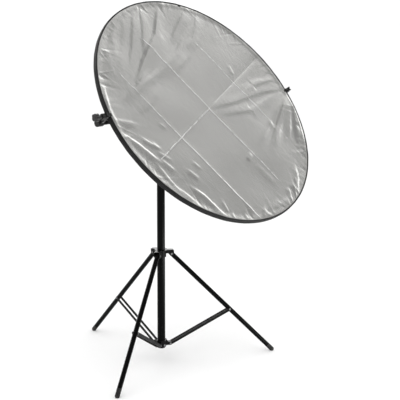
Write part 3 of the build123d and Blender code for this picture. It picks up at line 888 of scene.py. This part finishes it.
binding = dress(
    swept_ring("edge_binding_tape", binding_band, turn, True, binding_wobble),
    FINISHES["black_tape"],
    "arm",
    "black_tape",
    "edge_binding",
)


STITCH_PITCH, STITCH_THICK = 0.0042, 0.00028
STITCH_SHARE = 0.36  # half a stitch's length, as a share of the pitch


def stitch_row(name, radius, height, lift):
    """A row of lockstitches round the binding's lip."""
    count = int(2 * math.pi * radius / STITCH_PITCH)
    middles = np.arange(count) * 2 * math.pi / count
    half = STITCH_SHARE * STITCH_PITCH / radius
    sway = 0.0001 * smooth_noise(middles, SEED + 5, 10, 3, 50)
    starts = ring_points(radius + sway, middles - half, height + lift)
    ends = ring_points(radius + sway, middles + half, height + lift)
    return beads(name, starts, ends, STITCH_THICK)


thread = moulded_plastic("thread_black", 0.03, 0.6, 0.3)
for side, row_name in ((1, "binding_stitches_front"), (-1, "binding_stitches_back")):
    row = stitch_row(row_name, LIP_R + 0.0002, side * (LIP_H + 0.0003), side * 0.0001)
    dress(row, thread, "arm", "black_tape")

chain_points = (node_points("zip_chain") - CENTRE) @ AXES.T
chain_angles = np.arctan2(chain_points[:, 1], chain_points[:, 0]) % (2 * math.pi)
chain_angles = np.unwrap(np.sort(chain_angles))
ZIP_START, ZIP_END = chain_angles[0], chain_angles[-1]
chain_radius = np.hypot(chain_points[:, 0], chain_points[:, 1])
CHAIN_IN, CHAIN_OUT = chain_radius.min(), chain_radius.max()
CHAIN_HALF = np.abs(chain_points[:, 2]).max()
ZIP_STEPS = 430
ZIP_TAPE_THICK = 0.0004
zip_turn = np.linspace(ZIP_START, ZIP_END, ZIP_STEPS)
for side, tape_name in ((1, "zip_tape_front"), (-1, "zip_tape_back")):
    heights = [0.0007 + i * (CHAIN_HALF + 0.0012) / 5 for i in range(5)]
    path = [(CHAIN_IN + ZIP_TAPE_THICK, side * height) for height in heights]
    outline = rounded_band(path, ZIP_TAPE_THICK)
    if side < 0:
        outline = outline[::-1]
    tape = swept_ring(tape_name, outline, zip_turn, False)
    dress(tape, FINISHES["black_tape"], "arm", "black_tape")

TOOTH_PITCH, TOOTH_THICK = 0.0012, 0.00052
tooth_count = int((ZIP_END - ZIP_START) * CHAIN_OUT / TOOTH_PITCH)
tooth_share = (np.arange(tooth_count) + 0.5) / tooth_count
tooth_angle = ZIP_START + tooth_share * (ZIP_END - ZIP_START)
tooth_side = np.where(np.arange(tooth_count) % 2 == 0, 1.0, -1.0)
tooth_r = CHAIN_OUT - 0.0004
teeth = beads(
    "zip_teeth",
    ring_points(tooth_r, tooth_angle, -tooth_side * 0.0006),
    ring_points(tooth_r, tooth_angle, tooth_side * 0.0021),
    TOOTH_THICK,
)
dress(teeth, FINISHES["zip_coil"], "arm", "zip_coil", "zip_chain")

# The sewn tab at the zip's start: a folded tape, crowned between its seams.
tab_points = (node_points("zip_end_tab") - CENTRE) @ AXES.T
tab_radius = np.hypot(tab_points[:, 0], tab_points[:, 1])
tab_angle = np.arctan2(tab_points[:, 1], tab_points[:, 0])
TAB_ROWS, TAB_COLUMNS = 15, 19
tab_u, tab_v = np.meshgrid(
    np.linspace(-1, 1, TAB_ROWS), np.linspace(-1, 1, TAB_COLUMNS), indexing="ij"
)
crown = (1 - tab_u**4) * (1 - tab_v**4)
tab_mid_r = (tab_radius.max() + tab_radius.min()) / 2
tab_half_r = (tab_radius.max() - tab_radius.min()) / 2
tab_mid_a = (tab_angle.max() + tab_angle.min()) / 2
tab_half_a = (tab_angle.max() - tab_angle.min()) / 2
tab_low, tab_high = tab_points[:, 2].min(), tab_points[:, 2].max()
tab_top = ring_points(
    tab_mid_r + tab_half_r * tab_u,
    tab_mid_a + tab_half_a * tab_v * (1 - 0.06 * tab_u**2),
    tab_low + (tab_high - tab_low) * (0.35 + 0.65 * crown - 0.25 * np.exp(-((tab_v / 0.12) ** 2))),
)
tab_under = ring_points(tab_mid_r + tab_half_r * tab_u, tab_mid_a + tab_half_a * tab_v, tab_low)
tab_faces = [tuple(f) for f in grid_faces(TAB_ROWS, TAB_COLUMNS)]
TAB_SIZE = TAB_ROWS * TAB_COLUMNS
tab_faces += [tuple(i + TAB_SIZE for i in reversed(f)) for f in tab_faces]
edge = (
    list(range(TAB_COLUMNS))
    + [r * TAB_COLUMNS + TAB_COLUMNS - 1 for r in range(1, TAB_ROWS)]
    + [(TAB_ROWS - 1) * TAB_COLUMNS + c for c in range(TAB_COLUMNS - 2, -1, -1)]
    + [r * TAB_COLUMNS for r in range(TAB_ROWS - 2, 0, -1)]
)
tab_faces += [
    (edge[i - 1], edge[i], edge[i] + TAB_SIZE, edge[i - 1] + TAB_SIZE) for i in range(len(edge))
]
tab = mesh_object("zip_end_tape", np.vstack([tab_top, tab_under]), tab_faces)
tab_uv = np.column_stack([tab_u.ravel() * tab_half_r, tab_v.ravel() * 0.008])
set_uv(tab, np.vstack([tab_uv, tab_uv]))
dress(tab, FINISHES["black_tape"], "arm", "black_tape", "zip_end_tab")

# -------------------- carried-over CAD nodes

for name, node in NODES.items():
    if node.hide_render:
        continue
    finish = FINISHES[SLOT_OF[name]]
    if not node.data.materials:
        node.data.materials.append(finish)
    for index in range(len(node.data.materials)):
        node.data.materials[index] = finish

# -------------------- floor, light and camera

FLOOR_HALF = 45.0
FLOOR_Z = -0.0002
FLOOR_CORNERS = ((-1, -1), (1, -1), (1, 1), (-1, 1))
floor = mesh_object(
    "studio_floor",
    [(x * FLOOR_HALF, y * FLOOR_HALF, FLOOR_Z) for x, y in FLOOR_CORNERS],
    [(0, 1, 2, 3)],
    smooth=False,
)
floor_finish = Finish("pale_floor")
floor_cloud = floor_finish.noise(floor_finish.coordinates(), 1.5, 3.0)
floor_finish.set(
    Base_Color=floor_finish.blend(floor_cloud, (0.90, 0.90, 0.90, 1), (0.92, 0.92, 0.92, 1)),
    Roughness=0.9,
    Specular_IOR_Level=0.1,
)
floor.data.materials.append(floor_finish.material)

# Reflections see a room with a bright backdrop, a dimmer side towards the photograph's viewpoint,
# and one brighter upper corner. Each profile gives the brightness against how far a direction
# points along its axis.
BACKDROP_AXIS = (0.0, 0.88, -0.48)
BACKDROP = [(-1.0, 0.50), (-0.7, 0.50), (-0.45, 0.46), (-0.22, 0.52), (-0.08, 0.92), (0.0, 1.0)]
BACKDROP += [(0.07, 0.98), (0.15, 1.30), (0.3, 3.1), (0.5, 5.2), (1.0, 5.6)]
CORNER_AXIS = (-0.703, -0.364, 1.008)
CORNER = [(-1.0, 0.42), (-0.5, 0.52), (-0.2, 0.64), (-0.1, 0.77), (0.0, 0.93), (0.1, 1.13)]
CORNER += [(0.2, 1.22), (0.35, 1.16), (1.0, 1.0)]
BRIGHTEST = 6.0  # the profiles are drawn between 0 and this
EVEN_LIGHT = 1.1  # the even pale room that everything but a reflection sees


def room_profile(tree, direction, axis, profile):
    """Brightness as a curve of how far the direction points along an axis."""
    towards = tree.nodes.new("ShaderNodeVectorMath")
    towards.operation = "DOT_PRODUCT"
    towards.inputs[1].default_value = axis
    tree.links.new(direction, towards.inputs[0])
    span = tree.nodes.new("ShaderNodeMapRange")
    span.inputs["From Min"].default_value = -1.0
    span.inputs["From Max"].default_value = 1.0
    tree.links.new(towards.outputs["Value"], span.inputs["Value"])
    ramp = tree.nodes.new("ShaderNodeFloatCurve")
    points = ramp.mapping.curves[0].points
    points[0].location = (0.0, profile[0][1] / BRIGHTEST)
    points[1].location = (1.0, profile[-1][1] / BRIGHTEST)
    for share, level in profile[1:-1]:
        points.new((share + 1) / 2, level / BRIGHTEST)
    ramp.mapping.update()
    tree.links.new(span.outputs["Result"], ramp.inputs["Value"])
    return ramp.outputs["Value"]


def product(tree, a, b):
    made = tree.nodes.new("ShaderNodeMath")
    made.operation = "MULTIPLY"
    tree.links.new(a, made.inputs[0])
    if isinstance(b, float):
        made.inputs[1].default_value = b
    else:
        tree.links.new(b, made.inputs[1])
    return made.outputs["Value"]


world = bpy.data.worlds.new("studio")
bpy.context.scene.world = world
world.use_nodes = True
sky = world.node_tree
ray = sky.nodes.new("ShaderNodeTexCoord").outputs["Generated"]
both = product(
    sky,
    room_profile(sky, ray, BACKDROP_AXIS, BACKDROP),
    room_profile(sky, ray, CORNER_AXIS, CORNER),
)
by_ray = sky.nodes.new("ShaderNodeMapRange")
by_ray.inputs["To Min"].default_value = EVEN_LIGHT
is_glossy = sky.nodes.new("ShaderNodeLightPath").outputs["Is Glossy Ray"]
sky.links.new(is_glossy, by_ray.inputs["Value"])
sky.links.new(product(sky, both, BRIGHTEST**2), by_ray.inputs["To Max"])
sky.links.new(by_ray.outputs["Result"], sky.nodes["Background"].inputs["Strength"])
sky.nodes["Background"].inputs["Color"].default_value = (1.0, 1.0, 1.0, 1.0)


def softbox(name, place_at, aim, size_x, size_y, power, along=(0.0, 1.0, 0.0), glossy=True):
    """An area light facing aim, with its Y side along a direction."""
    data = bpy.data.lights.new(name, "AREA")
    data.shape = "RECTANGLE"
    data.size, data.size_y, data.energy = size_x, size_y, power
    made = bpy.data.objects.new(name, data)
    away = unit(np.array(place_at) - np.array(aim))
    side = unit(np.cross(np.array(along, float), away))
    turn_to = np.stack([side, np.cross(away, side), away], axis=1)
    made.matrix_world = Matrix.Translation(place_at) @ Matrix(turn_to.tolist()).to_4x4()
    made.visible_camera = False
    made.visible_glossy = glossy
    bpy.context.scene.collection.objects.link(made)
    return made


softbox("overhead_softbox", (-0.2, -0.4, 5.0), (0.1, 0.0, 0.0), 6.0, 6.0, 40, glossy=False)
softbox("low_right_strip", (1.3, -0.5, 0.14), (0.0, 0.0, 0.14), 0.6, 0.2, 6, (0.0, 0.0, 1.0))

CAMERA_AT = (0.16485, -4.46698, 1.58874)
LOOKS_DOWN = 11.282  # degrees below level
ROLL = 0.2224  # degrees
camera_data = bpy.data.cameras.new("photo_camera")
camera_data.sensor_width = 36.0
camera_data.lens = 97.2
camera_data.clip_end = 200.0
camera = bpy.data.objects.new("photo_camera", camera_data)
camera.matrix_world = (
    Matrix.Translation(CAMERA_AT)
    @ Matrix.Rotation(math.radians(90 - LOOKS_DOWN), 4, "X")
    @ Matrix.Rotation(math.radians(ROLL), 4, "Z")
)
bpy.context.scene.collection.objects.link(camera)
bpy.context.scene.camera = camera
bpy.context.scene.view_settings.view_transform = "Standard"
